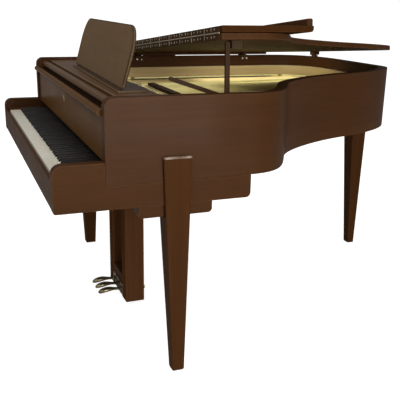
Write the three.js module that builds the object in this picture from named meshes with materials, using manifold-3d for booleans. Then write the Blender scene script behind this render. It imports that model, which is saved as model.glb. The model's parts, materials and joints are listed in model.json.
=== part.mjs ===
// A small grand piano in plain walnut, with straight stepped sides and square tapered legs.
// Millimetres, +Z up. X runs from the bass side (-) to the treble side (+), Y from the keys to the tail.
import * as THREE from 'three';
import { mergeVertices } from 'three/addons/utils/BufferGeometryUtils.js';
import Module from 'manifold-3d';

const wasm = await Module();
wasm.setup();

// ---- Driving dimensions ----
const HALF_W = 720;          // half the width of the case
const TAIL_Y = 1665;         // back of the tail
const WALL = 38;             // thickness of the outer rim and of the arms
const RIM_FRONT_Y = 160;     // front edge of the tall sides
const RIM_Z = [666, 929];    // bottom and top of the outer rim
const ARM_Z = [589, 737];    // bottom and top of the arms
const ARM_REAR_Y = 642;      // rear end of the long arm boards, under the rim
const STEP_Z = 549;          // bottom of the second, shorter step
const STEP_Y = [262, 509];
const GAP = 0.3;             // clearance between pieces that touch
const LEG_PROUD = 15;        // how far a leg's top laps outside the case side
const LEG_TOP_W = 88;
const LEG_TOP_Z = 745;       // the legs that lap outside the case end a little above the arms
const KEY_TOP_Z = 694;
const KEY_FRONT_Y = 15.5;
const KEY_PITCH = 1225 / 52;
const KEYS_LEFT_X = -612.5;
const OCTAVE = 7 * KEY_PITCH;
const SLOT = OCTAVE / 12;
const FALL_PIVOT = [177, 726];
const RAIL_Z = 895;          // underside of the front rail, above and behind the open fall board
const DESK_HALF = 455;        // half the width of the music desk
const LID_HINGE = [-726, 923];
const LID_ANGLE = 6;
const FOLD_Y = 529;          // fold line between the main lid and its front flap
const BOARD = 20;            // thickness of both lid boards
const CENTRE = [4.35, (TAIL_Y + 14) / 2];   // centre of the whole object in plan

const walnut = { color: 0x5a3220, roughness: 0.45, metalness: 0 };
const darkWalnut = { color: 0x3b2016, roughness: 0.5, metalness: 0 };
const maple = { color: 0xb58a4e, roughness: 0.5, metalness: 0 };
const spruce = { color: 0xc79a52, roughness: 0.55, metalness: 0 };
const ivory = { color: 0xe9e4d4, roughness: 0.35, metalness: 0 };
const ebony = { color: 0x141213, roughness: 0.35, metalness: 0 };
const gold = { color: 0xa98a3a, roughness: 0.4, metalness: 0.6 };
const brass = { color: 0xb08d4a, roughness: 0.35, metalness: 0.9 };
const steel = { color: 0x9a9a98, roughness: 0.35, metalness: 0.9 };
const felt = { color: 0x2a1b16, roughness: 0.95, metalness: 0 };

// ---- Building helpers ----
function node(parent, name, geometry, look) {
  const mesh = new THREE.Mesh(geometry, new THREE.MeshStandardMaterial(look));
  mesh.name = name;
  parent.add(mesh);
  return mesh;
}

function box(x, y, z) {
  const geometry = new THREE.BoxGeometry(x[1] - x[0], y[1] - y[0], z[1] - z[0]);
  return geometry.translate((x[0] + x[1]) / 2, (y[0] + y[1]) / 2, (z[0] + z[1]) / 2);
}

function extrude(outline, depth, curveSegments = 4) {
  const shape = new THREE.Shape(outline.map(([u, v]) => new THREE.Vector2(u, v)));
  return new THREE.ExtrudeGeometry(shape, { depth, bevelEnabled: false, curveSegments });
}

// A level board: outline in X and Y, from z[0] up to z[1].
function levelBoard(outline, z) {
  return extrude(outline, z[1] - z[0]).translate(0, 0, z[0]);
}

// A board standing along Y: outline in Y and Z, from x[0] to x[1].
function sideBoard(outline, x) {
  const turn = new THREE.Matrix4().set(0, 0, 1, x[0], 1, 0, 0, 0, 0, 1, 0, 0, 0, 0, 0, 1);
  return extrude(outline, x[1] - x[0]).applyMatrix4(turn);
}

// A board standing along X: outline in X and Z, from y[0] to y[1].
function frontBoard(outline, y) {
  return extrude(outline, y[1] - y[0]).rotateX(Math.PI / 2).translate(0, y[1], 0);
}

// Rectangle u by v whose four corners (low-low, high-low, high-high, low-high) have these radii.
function roundedRect(u, v, radii, steps = 5) {
  const corners = [[u[0], v[0], 1, 1, 180], [u[1], v[0], -1, 1, 270], [u[1], v[1], -1, -1, 0], [u[0], v[1], 1, -1, 90]];
  return corners.flatMap(([cu, cv, su, sv, start], i) => {
    const r = radii[i];
    if (!r) return [[cu, cv]];
    return Array.from({ length: steps + 1 }, (_, k) => {
      const a = THREE.MathUtils.degToRad(start + (90 * k) / steps);
      return [cu + su * r + r * Math.cos(a), cv + sv * r + r * Math.sin(a)];
    });
  });
}

function rod(radius, from, to, sides = 12) {
  const a = new THREE.Vector3(...from);
  const b = new THREE.Vector3(...to);
  const geometry = new THREE.CylinderGeometry(radius, radius, a.distanceTo(b), sides);
  const turn = new THREE.Quaternion().setFromUnitVectors(new THREE.Vector3(0, 1, 0), b.clone().sub(a).normalize());
  return geometry.applyQuaternion(turn).translate((a.x + b.x) / 2, (a.y + b.y) / 2, (a.z + b.z) / 2);
}

function solid(geometry) {
  const bare = geometry.clone();
  bare.deleteAttribute('normal');
  bare.deleteAttribute('uv');
  const merged = mergeVertices(bare);
  const vertProperties = new Float32Array(merged.attributes.position.array);
  return new wasm.Manifold(new wasm.Mesh({ numProp: 3, vertProperties, triVerts: new Uint32Array(merged.index.array) }));
}

function geometryOf(manifold) {
  const mesh = manifold.getMesh();
  const geometry = new THREE.BufferGeometry();
  geometry.setAttribute('position', new THREE.BufferAttribute(new Float32Array(mesh.vertProperties), 3));
  geometry.setIndex(new THREE.BufferAttribute(new Uint32Array(mesh.triVerts), 1));
  geometry.computeVertexNormals();
  return geometry;
}

const join = (first, ...others) => geometryOf(others.reduce((sum, g) => sum.add(solid(g)), solid(first)));
const cut = (first, ...others) => geometryOf(others.reduce((rest, g) => rest.subtract(solid(g)), solid(first)));

// ---- Plan of the case ----
function bezier(p0, c1, c2, p3, steps) {
  const v = [p0, c1, c2, p3].map(([x, y]) => new THREE.Vector2(x, y));
  return new THREE.CubicBezierCurve(...v).getPoints(steps).map((p) => [p.x, p.y]);
}

// The outside of the case from its treble front corner round the tail to its bass front corner.
function casePlan() {
  const waist = [514, 872];
  const flank = [256, 1302];
  const tailTreble = [-30, TAIL_Y];
  const tailBass = [-360, TAIL_Y];
  return [
    [HALF_W, RIM_FRONT_Y],
    ...bezier([HALF_W, 640], [HALF_W, 760], [640, 800], waist, 9),
    ...bezier(waist, [425, 922], [302, 1130], flank, 9).slice(1),
    ...bezier(flank, [224, 1422], [110, TAIL_Y], tailTreble, 9).slice(1),
    ...bezier(tailBass, [-580, TAIL_Y], [-HALF_W, 1600], [-HALF_W, 1350], 9),
    [-HALF_W, RIM_FRONT_Y],
  ];
}

// The same plan moved inwards by d (outwards if d is negative), with its open front at frontY.
function planOffset(d, frontY) {
  const plan = casePlan();
  const moved = plan.map((p, i) => {
    const a = plan[Math.max(i - 1, 0)];
    const b = plan[Math.min(i + 1, plan.length - 1)];
    const length = Math.hypot(b[0] - a[0], b[1] - a[1]);
    return [p[0] - (d * (b[1] - a[1])) / length, p[1] + (d * (b[0] - a[0])) / length];
  });
  moved[0] = [HALF_W - d, frontY];
  moved[moved.length - 1] = [d - HALF_W, frontY];
  return moved;
}

function band(outer, inner, z) {
  return levelBoard([...outer, ...inner.reverse()], z);
}

const piano = new THREE.Group();
const model = new THREE.Group();
model.position.set(-CENTRE[0], -CENTRE[1], 0);
piano.add(model);

// ---- Case ----
function outerRim() {
  const rim = band(planOffset(0, RIM_FRONT_Y), planOffset(WALL, RIM_FRONT_Y), RIM_Z);
  const radius = 30;
  const corner = [[RIM_FRONT_Y - 5, RIM_Z[1] + 5], [RIM_FRONT_Y - 5, RIM_Z[1] - radius]];
  for (let k = 0; k <= 5; k += 1) {
    const a = Math.PI - (Math.PI / 2) * (k / 5);
    corner.push([RIM_FRONT_Y + radius + radius * Math.cos(a), RIM_Z[1] - radius + radius * Math.sin(a)]);
  }
  corner.push([RIM_FRONT_Y + radius, RIM_Z[1] + 5]);
  return cut(rim, sideBoard(corner.reverse(), [-HALF_W - 5, HALF_W + 5]));
}

function armBoard() {
  const front = roundedRect([0, RIM_FRONT_Y - GAP], ARM_Z, [9, 0, 0, 32]);
  const rear = roundedRect([RIM_FRONT_Y, ARM_REAR_Y], [ARM_Z[0], RIM_Z[0] - GAP], [0, 16, 0, 0]);
  return [...front.slice(0, 6), ...rear.slice(1, -1), [RIM_FRONT_Y - GAP, RIM_Z[0] - GAP], ...front.slice(7)];
}

function sides() {
  node(model, 'rim_outer', outerRim(), walnut);
  node(model, 'rim_inner', band(planOffset(WALL + GAP, 560), planOffset(WALL + 24, 560), [700, 877]), maple);
  const stepOutline = roundedRect(STEP_Y, [STEP_Z, ARM_Z[0] - GAP], [14, 14, 0, 0]);
  for (const [side, sign] of [['treble', 1], ['bass', -1]]) {
    const across = (a, b) => [sign * a, sign * b].sort((m, n) => m - n);
    node(model, `arm_${side}`, sideBoard(armBoard(), across(HALF_W - WALL, HALF_W)), walnut);
    node(model, `step_${side}`, sideBoard(stepOutline, across(HALF_W - 64, HALF_W - 6)), walnut);
    node(model, `key_block_${side}`, sideBoard(
      roundedRect([18, 164], [KEY_TOP_Z - 58, KEY_TOP_Z + 1], [0, 0, 0, 10]),
      across(614.5, HALF_W - WALL - GAP)), walnut);
  }
}

function front() {
  const inside = HALF_W - WALL - GAP;
  const keyBedZ = [ARM_Z[0], ARM_Z[0] + 34];
  node(model, 'key_bed', box([-inside, inside], [24, 640], keyBedZ), darkWalnut);
  node(model, 'key_slip', sideBoard(
    roundedRect([2, 14], [ARM_Z[0], KEY_TOP_Z - 8], [5, 0, 2, 5], 3), [-inside, inside]), walnut);
  node(model, 'name_board', box([-inside, inside], [198, 206], [KEY_TOP_Z + 20, RAIL_Z - GAP]), darkWalnut);
  node(model, 'front_rail', sideBoard(roundedRect([188, 214], [RAIL_Z, 912], [0, 0, 5, 12], 5), [-inside, inside]), walnut);
  node(model, 'music_shelf', sideBoard(roundedRect([224, 368], [899, 917], [0, 0, 3, 3], 2), [-inside, inside]), walnut);
}

// ---- Keys ----
const whiteX = (index) => KEYS_LEFT_X + index * KEY_PITCH;
const NOTCHED = [[1], [1, -1], [-1], [1], [1, -1], [1, -1], [-1]];   // sides of C..B that give way to a black key
const isBlack = [false, true, false, true, false, false, true, false, true, false, true, false];
const FIRST_MOVING = 23;     // white index of middle C
const MOVING_WHITES = 3;     // C, D and E move, with the two black keys between them
const REAR_Y = 400;

function whiteKeyRun(from, to) {
  const outline = [];
  for (let i = from; i < to; i += 1) {
    outline.push([whiteX(i) + 0.5, 240], [whiteX(i) + 0.5, KEY_FRONT_Y], [whiteX(i + 1) - 0.5, KEY_FRONT_Y], [whiteX(i + 1) - 0.5, 240]);
  }
  outline.push([whiteX(to) - 0.5, REAR_Y], [whiteX(from) + 0.5, REAR_Y]);
  return levelBoard(outline, [KEY_TOP_Z - 20, KEY_TOP_Z]);
}

// Centre of each black key between two white indices; octaves start on C, and the first key is A.
function blackCentres(from, to) {
  const centres = [];
  for (let octave = -1; octave < 8; octave += 1) {
    const c = whiteX(2 + octave * 7);
    isBlack.forEach((black, k) => {
      const x = c + (k + 0.5) * SLOT;
      if (black && x > whiteX(from) + 8 && x < whiteX(to) - 8) centres.push(x);
    });
  }
  return centres;
}

function blackKeyRun(from, to) {
  const centres = blackCentres(from, to);
  const outline = centres.flatMap((x) => [[x - 5, 222], [x - 5, 62], [x + 5, 62], [x + 5, 222]]);
  outline.push([centres[centres.length - 1] + 5, 238], [centres[0] - 5, 238]);
  return levelBoard(outline, [KEY_TOP_Z + GAP, KEY_TOP_Z + 12]);
}

function movingWhite(index) {
  const notes = NOTCHED[index];
  const x = [whiteX(FIRST_MOVING + index) + 0.5, whiteX(FIRST_MOVING + index + 1) - 0.5];
  const slot = [0, 2, 4][index];
  const c = whiteX(FIRST_MOVING);
  const low = notes.includes(-1) ? c + slot * SLOT + 0.3 : x[0];
  const high = notes.includes(1) ? c + (slot + 1) * SLOT - 0.3 : x[1];
  return levelBoard([[x[0], KEY_FRONT_Y], [x[1], KEY_FRONT_Y], [x[1], 60], [high, 60], [high, REAR_Y], [low, REAR_Y], [low, 60], [x[0], 60]],
    [KEY_TOP_Z - 20, KEY_TOP_Z]);
}

function movingBlack(slot) {
  const x = whiteX(FIRST_MOVING) + (slot + 0.5) * SLOT;
  const profile = [[66, KEY_TOP_Z - 20], [REAR_Y, KEY_TOP_Z - 20], [REAR_Y, KEY_TOP_Z], [182, KEY_TOP_Z],
    [182, KEY_TOP_Z + 12], [70, KEY_TOP_Z + 12], [62, KEY_TOP_Z + 1], [62, KEY_TOP_Z - 18]];
  return sideBoard(profile, [x - 5, x + 5]);
}

function keys() {
  const last = FIRST_MOVING + MOVING_WHITES;
  node(model, 'white_keys_bass', whiteKeyRun(0, FIRST_MOVING), ivory);
  node(model, 'white_keys_treble', whiteKeyRun(last, 52), ivory);
  node(model, 'black_keys_bass', blackKeyRun(0, FIRST_MOVING), ebony);
  node(model, 'black_keys_treble', blackKeyRun(last, 52), ebony);
  ['c', 'd', 'e'].forEach((note, i) => node(model, `key_${note}`, movingWhite(i), ivory));
  ['c_sharp', 'd_sharp'].forEach((note, i) => node(model, `key_${note}`, movingBlack(1 + 2 * i), ebony));
}

// ---- Fall board: swings forwards and down over the keys ----
function fallBoard() {
  const fall = new THREE.Group();
  fall.position.set(0, ...FALL_PIVOT);
  model.add(fall);
  const half = HALF_W - WALL - 2;
  node(fall, 'fall_panel', sideBoard(roundedRect([-9, 9], [0, 150], [4, 4, 0, 0], 3), [-half, half]), walnut);
  node(fall, 'fall_nose', sideBoard(roundedRect([-30, -9 - GAP], [145, 164], [7, 0, 3, 7], 3), [-half, half]), walnut);
  node(fall, 'fall_lock', box([-14, 14], [-10.8, -9 - GAP], [90, 118]), brass);
}

// ---- Music desk: it stands a little askew on the shelf, leaning back from the keys ----
function musicDesk() {
  const stand = new THREE.Group();
  stand.position.set(88, 279, 931.3);
  stand.rotation.z = THREE.MathUtils.degToRad(-1.8);
  model.add(stand);
  node(stand, 'desk_tray', box([-DESK_HALF - 3, DESK_HALF + 3], [-18, 74], [-14, -8]), walnut);
  const desk = new THREE.Group();
  desk.rotation.x = THREE.MathUtils.degToRad(-15.6);
  stand.add(desk);
  const outline = roundedRect([-DESK_HALF, DESK_HALF], [-4, 200.5], [8, 8, 96, 96], 8);
  node(desk, 'music_desk', frontBoard(outline, [-6.5, 6.5]), walnut);
}

// ---- Strings side: soundboard, iron plate and the rails round them ----
const PLATE_Z = [813, 822];
const STRING_SLOPE = 0.108;  // the strings and the struts lean towards the bass side as they run back
const BRIDGE_LINE = [[530, 660], [500, 696], [426, 742], [333, 822], [252, 932], [182, 1058],
  [126, 1192], [94, 1294], [44, 1396], [-30, 1450], [-140, 1474], [-430, 1436]];

// Outline of a strip of this width along a line.
function ribbon(line, width) {
  const side = (sign) => line.map((p, i) => {
    const a = line[Math.max(i - 1, 0)];
    const b = line[Math.min(i + 1, line.length - 1)];
    const length = Math.hypot(b[0] - a[0], b[1] - a[1]);
    return [p[0] - (sign * width * (b[1] - a[1])) / 2 / length, p[1] + (sign * width * (b[0] - a[0])) / 2 / length];
  });
  return [...side(-1), ...side(1).reverse()];
}

function inside() {
  const wall = planOffset(WALL + 27, 575);
  node(model, 'soundboard', levelBoard(wall, [724, 733]), spruce);
  // The flange carries two broad castings under the strings, with a slot between them.
  const castings = [[[-645, -331], [600, 1400]], [[-335, -246], [826, 1180]], [[-262, -20], [655, 1012]]];
  node(model, 'plate_flange', join(band(planOffset(WALL + 27, 600), planOffset(WALL + 95, 600), PLATE_Z),
    ...castings.map(([x, y]) => box(x, y, PLATE_Z))), gold);
  node(model, 'plate_web', box([-652, 652], [440, 600 - GAP], PLATE_Z), gold);
  [-328, 62].forEach((x, i) => {
    const corners = [[x - 10, 575], [x + 10, 575], [x + 10, 1560], [x - 10, 1560]];
    const leaning = corners.map(([u, v]) => [u - STRING_SLOPE * (v - 575), v]);
    node(model, `plate_strut_${i + 1}`, levelBoard(leaning, [PLATE_Z[1] + GAP, PLATE_Z[1] + 12]), gold);
  });
  node(model, 'bridge', levelBoard(ribbon(BRIDGE_LINE, 30), [733 + GAP, PLATE_Z[1]]), maple);
  node(model, 'damper_rail', box([-600, 380], [626, 650], [733 + GAP, 768]), darkWalnut);
  node(model, 'belly_rail', box([-652, 652], [602, 636], [ARM_Z[0] + 34 + GAP, 724 - GAP]), maple);
  const beams = [[-360, -430], [20, -60]];
  beams.forEach(([x0, x1], i) => {
    const beam = levelBoard([[x0 - 28, 643], [x0 + 28, 643], [x1 + 28, 1610], [x1 - 28, 1610]], [668, 699]);
    node(model, `back_post_${i + 1}`, beam, maple);
  });
}

// ---- Legs ----
// A square leg tapering to its foot. faces are [outer, inner] at the top and foot on its two level axes.
function taperedLeg(topX, topY, footX, footY, topZ) {
  const ring = (x, y, z) => [[x[0], y[0], z], [x[1], y[0], z], [x[1], y[1], z], [x[0], y[1], z]];
  const vertices = [...ring(footX, footY, 0), ...ring(topX, topY, topZ)].flat();
  const quads = [[0, 3, 2, 1], [4, 5, 6, 7], [0, 1, 5, 4], [1, 2, 6, 5], [2, 3, 7, 6], [3, 0, 4, 7]];
  const geometry = new THREE.BufferGeometry();
  geometry.setAttribute('position', new THREE.BufferAttribute(new Float32Array(vertices), 3));
  geometry.setIndex(quads.flatMap(([a, b, c, d]) => [a, b, c, a, c, d]));
  geometry.computeVertexNormals();
  return geometry;
}

function legs() {
  const outer = HALF_W + LEG_PROUD;
  const treble = taperedLeg([outer - LEG_TOP_W, outer], [337, 432], [outer - 42, outer], [370, 413], LEG_TOP_Z);
  node(model, 'leg_treble', cut(treble, box([400, HALF_W + GAP], [300, 500], [STEP_Z - GAP, 800])), walnut);
  const bassX = [-625, -625 + LEG_TOP_W];
  const bass = taperedLeg(bassX, [320, 420], [bassX[0] + 14, bassX[0] + 56], [348, 396], STEP_Z + 40 - GAP);
  node(model, 'leg_bass', bass, walnut);
  const tailX = [-204, -204 + LEG_TOP_W];
  const back = TAIL_Y + 14;
  const tail = taperedLeg(tailX, [back - LEG_TOP_W, back], [tailX[0] + 22, tailX[0] + 64], [back - 36, back], ARM_Z[1]);
  node(model, 'leg_tail', cut(tail, box([-400, 100], [1500, TAIL_Y + GAP], [RIM_Z[0] - GAP, 800])), walnut);
}

// ---- Lyre and pedals ----
const LYRE_X = 70;
const LYRE_Y = [351, 428];
const LYRE_FOOT_Z = 17;
const PEDAL_Z = 47;
const PEDAL_PITCH = 56;

function lyre() {
  const postTop = ARM_Z[0] - GAP;
  node(model, 'lyre_post_bass', box([LYRE_X - 135, LYRE_X - 73], LYRE_Y, [LYRE_FOOT_Z, postTop]), walnut);
  node(model, 'lyre_post_treble', box([LYRE_X + 73, LYRE_X + 135], LYRE_Y, [LYRE_FOOT_Z, postTop]), walnut);
  const low = LYRE_X - 73 + GAP;
  const high = LYRE_X + 73 - GAP;
  node(model, 'lyre_head', box([low, high], [LYRE_Y[0] + 4, LYRE_Y[1] - 4], [postTop - 60, postTop]), walnut);
  const chest = box([low, high], [LYRE_Y[0] + 3, LYRE_Y[1] - 3], [LYRE_FOOT_Z, 112]);
  const slots = [-1, 0, 1].map((i) => box([LYRE_X + i * PEDAL_PITCH - 12, LYRE_X + i * PEDAL_PITCH + 12], [300, 412], [PEDAL_Z - 26, PEDAL_Z + 14]));
  node(model, 'pedal_box', cut(chest, ...slots), walnut);
  node(model, 'lyre_knob', rod(8, [LYRE_X + 100, LYRE_Y[1] + GAP, 62], [LYRE_X + 100, LYRE_Y[1] + 12, 62]), brass);
}

// A cast brass pedal: a round-ended toe on a narrow neck; its pivot is inside the pedal box.
function pedalOutline() {
  const outline = [[7, 0], [7, -82]];
  for (let k = 0; k <= 8; k += 1) {
    const a = (Math.PI * k) / 8;
    outline.push([15 * Math.cos(a), -120 - 30 * Math.sin(a)]);
  }
  return [...outline, [-7, -82], [-7, 0]].reverse();
}

function pedals() {
  ['una_corda', 'sostenuto', 'sustain'].forEach((name, i) => {
    const pedal = new THREE.Group();
    pedal.position.set(LYRE_X + (i - 1) * PEDAL_PITCH, 404, PEDAL_Z);
    model.add(pedal);
    node(pedal, `pedal_${name}`, levelBoard(pedalOutline(), [-6, 6]), brass);
  });
}

// ---- Lid, its folded front flap and the props ----
function lidPlan() {
  const plan = planOffset(-6, FOLD_Y).map(([x, y]) => [x - LID_HINGE[0], y]);
  plan[0][0] = HALF_W - LID_HINGE[0];
  plan[plan.length - 1][0] = 6;
  return plan.map(([x, y]) => [Math.min(Math.max(x, 6), HALF_W + 3 - LID_HINGE[0]), y]);
}

function lid() {
  const lidGroup = new THREE.Group();
  lidGroup.position.set(LID_HINGE[0], 0, LID_HINGE[1]);
  lidGroup.rotation.y = THREE.MathUtils.degToRad(-LID_ANGLE);
  model.add(lidGroup);
  const low = 18;
  const board = [low, low + BOARD];
  node(lidGroup, 'lid_main', levelBoard(lidPlan(), board), walnut);
  // The cup is open towards the keys, so that the short prop can swing down that way.
  const cup = [HALF_W - 70 - LID_HINGE[0], HALF_W - 42 - LID_HINGE[0]];
  const socket = box([cup[0] - 5, cup[1] + 5], [SHORT_FOOT[0] - 30, SHORT_FOOT[0] + 9], [low - 40, low + 5]);
  node(lidGroup, 'prop_cup', cut(box(cup, [SHORT_FOOT[0] - 20, SHORT_FOOT[0] + 42], [low - 24, low - GAP]), socket), brass);
  node(lidGroup, 'fold_leaf_lid', box([30, 1430], [FOLD_Y - 2, FOLD_Y - GAP], [low + 2, low + BOARD - 1]), steel);
  const flap = new THREE.Group();
  flap.position.set(0, FOLD_Y - 3, low + BOARD + 1);
  lidGroup.add(flap);
  node(flap, 'lid_flap', box([6, HALF_W + 3 - LID_HINGE[0]], [3, 319], [1, 1 + BOARD]), walnut);
  node(flap, 'flap_lip', box([12, HALF_W - 4 - LID_HINGE[0]], [299, 318.5], [1 + BOARD + GAP, 1 + BOARD + 23]), walnut);
  node(flap, 'fold_leaf_flap', box([30, 1430], [1, 3 - GAP], [2, BOARD - 1]), steel);
}

const PROP_X = [HALF_W - 62, HALF_W - 50];
const SHORT_FOOT = [571, 890];
const LONG_FOOT = [600, 900];

// A prop stick from its pivot to its round end; length along Y of its own group.
function stick(length, width, x) {
  const r = width / 2;
  const outline = [];
  for (let k = 0; k <= 6; k += 1) {
    const a = -Math.PI / 2 + (Math.PI * k) / 6;
    outline.push([length + r * Math.cos(a), r * Math.sin(a)]);
  }
  for (let k = 0; k <= 6; k += 1) {
    const a = Math.PI / 2 + (Math.PI * k) / 6;
    outline.push([r * Math.cos(a), r * Math.sin(a)]);
  }
  return sideBoard(outline, x);
}

function props() {
  const upright = new THREE.Group();
  upright.position.set(0, ...SHORT_FOOT);
  upright.rotation.x = THREE.MathUtils.degToRad(91.3);
  model.add(upright);
  node(upright, 'prop_short', stick(186.5, 15, PROP_X), walnut);
  const resting = new THREE.Group();
  resting.position.set(0, ...LONG_FOOT);
  resting.rotation.x = THREE.MathUtils.degToRad(180 - 18.5);
  model.add(resting);
  node(resting, 'prop_long', stick(224, 14, [PROP_X[0] - 13, PROP_X[0] - 2]), walnut);
  node(model, 'prop_plate', box([HALF_W - WALL - 3, HALF_W - WALL - GAP], [562, 614], [880, 906]), steel);
}

// Hinge leaf over the rim of the bass side and down its inner face.
function lidHinges() {
  [671, 1258].forEach((y, i) => {
    const leaf = box([-725, -HALF_W + WALL + 3], [y - 20, y + 20], [RIM_Z[1] + GAP, RIM_Z[1] + 3]);
    const drop = box([-HALF_W + WALL + GAP, -HALF_W + WALL + 3], [y - 20, y + 20], [902, RIM_Z[1] + 3]);
    node(model, `lid_hinge_${i + 1}`, join(leaf, drop), steel);
  });
  node(model, 'tail_buffer', box([-560, -532], [1598, 1622], [RIM_Z[1] + GAP, RIM_Z[1] + 9]), felt);
}

sides();
front();
keys();
fallBoard();
musicDesk();
inside();
legs();
lyre();
pedals();
lid();
props();
lidHinges();

export default piano;
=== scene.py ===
import json
import math

import bmesh
import bpy
from mathutils import Matrix, Vector


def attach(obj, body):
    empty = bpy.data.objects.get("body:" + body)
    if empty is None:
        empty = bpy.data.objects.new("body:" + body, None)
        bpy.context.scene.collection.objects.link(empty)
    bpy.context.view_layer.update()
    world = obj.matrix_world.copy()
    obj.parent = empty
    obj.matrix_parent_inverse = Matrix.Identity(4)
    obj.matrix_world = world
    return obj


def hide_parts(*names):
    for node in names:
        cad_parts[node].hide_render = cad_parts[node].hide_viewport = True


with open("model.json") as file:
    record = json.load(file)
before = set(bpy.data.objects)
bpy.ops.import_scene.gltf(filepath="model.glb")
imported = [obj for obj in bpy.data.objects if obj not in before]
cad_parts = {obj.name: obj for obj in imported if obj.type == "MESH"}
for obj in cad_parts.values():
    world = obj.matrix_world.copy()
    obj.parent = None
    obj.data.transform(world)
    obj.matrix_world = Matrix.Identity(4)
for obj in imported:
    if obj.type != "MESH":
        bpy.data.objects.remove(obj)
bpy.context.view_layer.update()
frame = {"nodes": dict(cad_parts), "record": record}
scene = bpy.context.scene

# ---- The case's own frame: millimetres, as in the CAD model ----
MM = 0.001
CENTRE = (4.35, 839.5)        # centre of the whole object in plan
HALF_W = 720                  # half the width of the case
TAIL_Y = 1665
WALL = 38                     # thickness of the outer rim
RIM_FRONT_Y = 160
RIM_Z = (666, 929)
RIM_CORNER = 30               # radius of the rim's upper front corner
KEY_TOP_Z = 694
KEY_FRONT_Y = 15.5
KEY_PITCH = 1225 / 52
KEYS_LEFT_X = -612.5
KEY_HEAD_Y = 61               # where the white keys' full-width heads end
KEY_REAR_Y = 396
OCTAVE = 7 * KEY_PITCH
SLOT = OCTAVE / 12            # pitch of the keys' narrow rear ends
FIRST_MOVING = 23             # white index of middle C
LID_ANGLE = 6
LID_X, LID_Z = -726, 923      # the lid's hinge line
LID_TOP = 38                  # the lid's upper face, above its hinge line
LID_SAG = 14.5                # how far the far corner of the lid's tail hangs down
FOLD_Y = 529
LEG_SHOULDER_Z = 735          # only the treble leg's head is above this
LINER_TOP = 877
FALL_PIVOT = (177, 726)
DESK_FOOT = (88, 279, 931.3)
DESK_SKEW = -1.8              # the music desk stands a little askew
DESK_LEAN = -15.6
DESK_HALF = 455
PLATE_Z = (813, 822)
PLATE_TOP = PLATE_Z[1]
STRING_Z = 825
STRING_SLOPE = 0.108          # how far a plain string runs sideways for each unit of its length
STRING_FRONT_Y = 590
STRING_COUNT, STRING_PITCH = 150, 8
FIRST_STRING_X = -596
LAST_BASS_X = -345            # strings on the bass side of this are wound
STRUT_XS = (-330, 60)         # no string runs under a strut of the casting
DAMPER_Y = (604, 634)
BRIDGE_LINE = [(530, 660), (500, 696), (426, 742), (333, 822), (252, 932), (182, 1058),
               (126, 1192), (94, 1294), (44, 1396), (-30, 1450), (-140, 1474), (-430, 1436)]
BASS_BRIDGE_LINE = [(-566, 1296), (-520, 1340), (-458, 1376)]
LYRE_X = 70
LYRE_Y = (351, 428)
PEDAL_Z = 47
PEDAL_PITCH = 56
UP = (0, 0, 1)


def turned_frame(base, place, axis=None, degrees=0.0):
    """The frame at `place` in `base`, turned about one axis."""
    made = base @ Matrix.Translation(place)
    return made @ Matrix.Rotation(math.radians(degrees), 4, axis) if axis else made


HOME = Matrix.Translation((-CENTRE[0] * MM, -CENTRE[1] * MM, 0)) @ Matrix.Scale(MM, 4)
LID = turned_frame(HOME, (LID_X, 0, LID_Z), "Y", -LID_ANGLE)
FLAP = turned_frame(LID, (0, FOLD_Y - 3, LID_TOP + 1))
FALL = turned_frame(HOME, (0, *FALL_PIVOT))
STAND = turned_frame(HOME, DESK_FOOT, "Z", DESK_SKEW)
DESK = turned_frame(STAND, (0, 0, 0), "X", DESK_LEAN)
BODY_OF = {n: b for b, nodes in frame["record"]["behaviour"]["bodies"].items() for n in nodes}


# ---- Material building ----
def blank(name):
    """A new node material: its tree and its shader."""
    material = bpy.data.materials.new(name)
    material.use_nodes = True
    return material.node_tree, material.node_tree.nodes["Principled BSDF"], material


def put(tree, socket, value):
    """Links another node's output to an input, or sets its value; three numbers make a solid colour."""
    if isinstance(value, bpy.types.NodeSocket):
        tree.links.new(value, socket)
    elif hasattr(value, "__len__") and len(value) == 3 and len(socket.default_value) == 4:
        socket.default_value = (*value, 1)
    else:
        socket.default_value = value


def node(tree, kind, inputs=None, **settings):
    """A new shader node with its settings made and its inputs put in."""
    made = tree.nodes.new("ShaderNode" + kind)
    for key, value in settings.items():
        setattr(made, key, value)
    for key, value in (inputs or {}).items():
        put(tree, made.inputs[key], value)
    return made


def spot(tree, source, stretch):
    """A place on the piece with each axis stretched: larger numbers give finer detail."""
    coordinates = node(tree, "TexCoord").outputs[source]
    return node(tree, "Mapping", {"Vector": coordinates, "Scale": stretch}).outputs[0]


def noise(tree, at, scale=1.0, detail=3.0, roughness=0.5, distortion=0.0):
    """A noise value at each place."""
    made = node(tree, "TexNoise", {"Vector": at, "Scale": scale, "Detail": detail,
                                   "Roughness": roughness, "Distortion": distortion})
    return made.outputs["Fac"]


def spread(tree, value, low, high, to_low=0.0, to_high=1.0):
    """A value between low and high, carried over to another range and held inside it."""
    inputs = {0: value, 1: low, 2: high, 3: to_low, 4: to_high}
    return node(tree, "MapRange", inputs, clamp=True).outputs[0]


def blend(tree, factor, first, second, kind="MIX"):
    """A colour between two, by a factor."""
    made = node(tree, "Mix", data_type="RGBA", blend_type=kind)
    for key, value in ((0, factor), (6, first), (7, second)):
        put(tree, made.inputs[key], value)
    return made.outputs[2]


def sums(tree, *weighted):
    """The sum of (value, weight) pairs."""
    total = None
    for value, weight in weighted:
        part = node(tree, "Math", {0: value, 1: weight}, operation="MULTIPLY").outputs[0]
        total = part if total is None else node(tree, "Math", {0: total, 1: part}).outputs[0]
    return total


def bump(tree, height, depth, strength=1.0):
    return node(tree, "Bump", {"Height": height, "Distance": depth, "Strength": strength}).outputs[0]


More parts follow.
